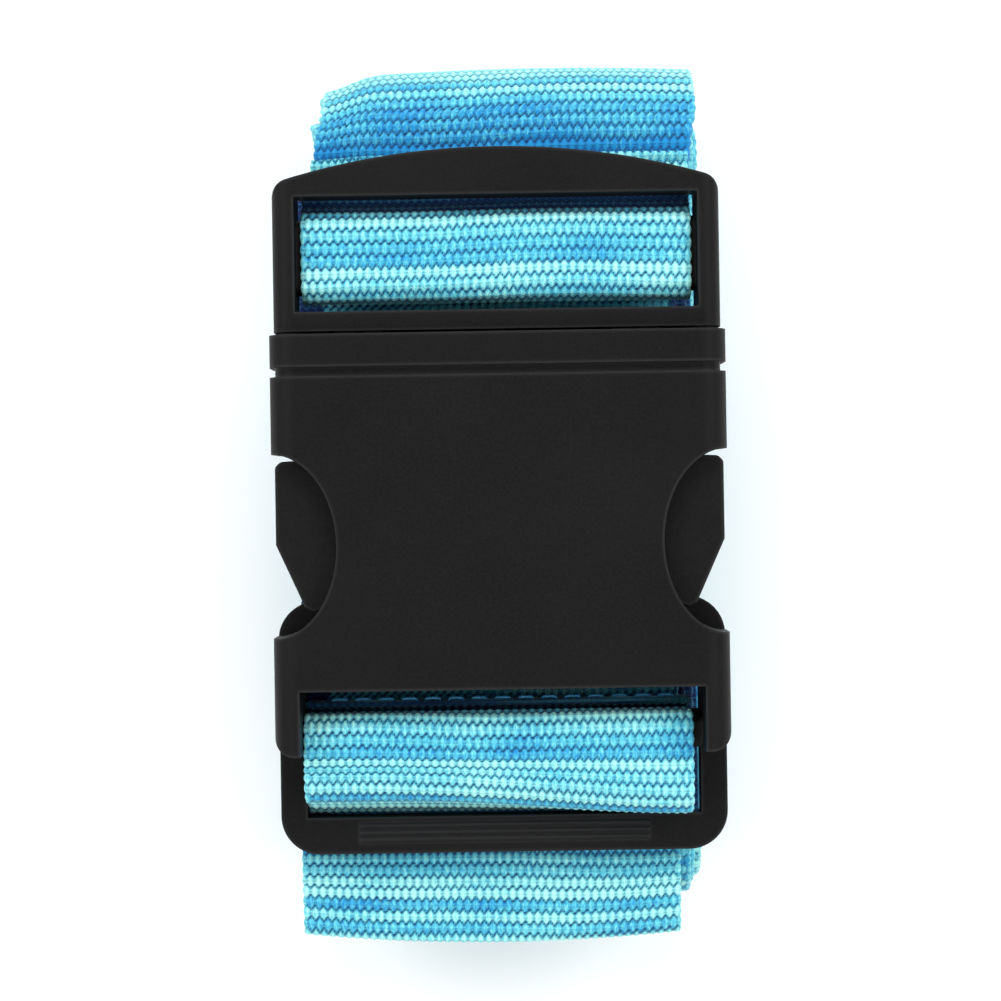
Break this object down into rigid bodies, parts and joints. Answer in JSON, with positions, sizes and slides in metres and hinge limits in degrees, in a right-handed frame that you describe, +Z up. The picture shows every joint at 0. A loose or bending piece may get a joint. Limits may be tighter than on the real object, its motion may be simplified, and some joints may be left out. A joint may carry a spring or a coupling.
{
  "type": "luggage strap",
  "caption": "Wide webbing strap wound into a flat bundle and closed on its front by a side-release buckle, with a ribbed tri-glide adjuster behind the buckle's lower end.",
  "frame": {"origin": "middle of the underside of the wound bundle, which lies on its back with the buckle on top", "axes": "X across the webbing; +Y along the buckle, from the tri-glide towards the male half; +Z up, out of the buckle's front face"},
  "size_m": [0.0576, 0.1152, 0.0358],
  "materials": {
    "webbing": "sky-blue ribbed polypropylene webbing with a slight sheen",
    "thread": "sewing thread in the webbing's blue",
    "buckle_plastic": "black moulded acetal with a fine matte grain"
  },
  "bodies": {
    "wound_strap": {"webbing_coil": "webbing", "female_body": "buckle_plastic", "webbing_adjuster_run": "webbing", "stitching_adjuster_loop": "thread"},
    "male_half": {"male_frame": "buckle_plastic", "webbing_male_run": "webbing", "stitching_male_loop": "thread"},
    "arm_left": {"release_arm_left": "buckle_plastic"},
    "arm_right": {"release_arm_right": "buckle_plastic"},
    "adjuster": {"tri_glide": "buckle_plastic"}
  },
  "joints": [
    {"name": "buckle_release", "type": "slide", "parent": "wound_strap", "child": "male_half", "axis": [0, 1, 0], "range_m": [0, 0.038], "deforming": ["webbing_male_run", "release_arm_left", "release_arm_right"]},
    {"name": "left_arm_squeeze", "type": "hinge", "parent": "male_half", "child": "arm_left", "pos_m": [-0.0175, 0.02, 0.03], "axis": [0, 0, 1], "range_deg": [0, 9], "stiffness_Nm_per_rad": 1.2},
    {"name": "right_arm_squeeze", "type": "hinge", "parent": "male_half", "child": "arm_right", "pos_m": [0.0175, 0.02, 0.03], "axis": [0, 0, -1], "range_deg": [0, 9], "stiffness_Nm_per_rad": 1.2},
    {"name": "tri_glide_slide", "type": "slide", "parent": "wound_strap", "child": "adjuster", "axis": [0, -1, 0], "range_m": [0, 0.004], "deforming": ["webbing_adjuster_run"]}
  ],
  "couplings": [
    {"joint": "right_arm_squeeze", "follows": "left_arm_squeeze", "ratio": 1}
  ]
}
